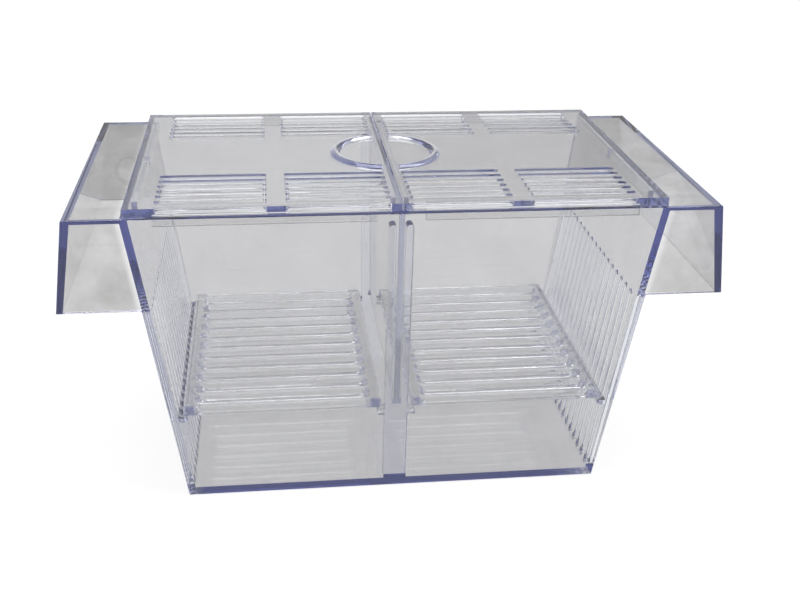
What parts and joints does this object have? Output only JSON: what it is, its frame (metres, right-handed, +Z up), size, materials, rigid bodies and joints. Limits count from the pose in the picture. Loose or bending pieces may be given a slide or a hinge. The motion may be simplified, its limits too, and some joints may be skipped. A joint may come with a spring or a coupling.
{
  "type": "fish breeding box",
  "caption": "Clear floating fish breeding box with twin tapering chambers, side floats, slotted walls, lift-out divider and fry grates, and a vented split lid with a ring grip.",
  "frame": {"origin": "under the middle of the tank's floor, on the surface it stands on", "axes": "+Z up, +X along the width from the left chamber to the right one, +Y from the front panel to the back panel"},
  "size_m": [0.202, 0.1, 0.1019],
  "materials": {
    "tank_clear": "polished clear polystyrene with a faint violet tint",
    "divider_clear": "polished clear polystyrene with a faint violet tint",
    "grate_clear": "polished clear polystyrene with a faint violet tint",
    "lid_clear": "polished clear polystyrene with a faint violet tint"
  },
  "bodies": {
    "tank": {"front_panel": "tank_clear", "back_panel": "tank_clear", "left_side_wall": "tank_clear", "right_side_wall": "tank_clear", "floor_plate": "tank_clear", "left_float_roof": "tank_clear", "right_float_roof": "tank_clear", "left_float_wall": "tank_clear", "right_float_wall": "tank_clear", "front_divider_guide": "tank_clear", "back_divider_guide": "tank_clear"},
    "divider": {"divider": "divider_clear"},
    "left_grate": {"left_grate": "grate_clear"},
    "right_grate": {"right_grate": "grate_clear"},
    "left_lid": {"left_lid": "lid_clear"},
    "right_lid": {"right_lid": "lid_clear"}
  },
  "joints": [
    {"name": "divider_lift", "type": "slide", "parent": "tank", "child": "divider", "axis": [0, 0, 1], "range_m": [0, 0.07]},
    {"name": "left_grate_lift", "type": "slide", "parent": "tank", "child": "left_grate", "axis": [0, 0, 1], "range_m": [0, 0.06]},
    {"name": "right_grate_lift", "type": "slide", "parent": "tank", "child": "right_grate", "axis": [0, 0, 1], "range_m": [0, 0.06]},
    {"name": "left_lid_lift", "type": "slide", "parent": "divider", "child": "left_lid", "axis": [0, 0, 1], "range_m": [0, 0.06]},
    {"name": "right_lid_lift", "type": "slide", "parent": "divider", "child": "right_lid", "axis": [0, 0, 1], "range_m": [0, 0.06]}
  ]
}
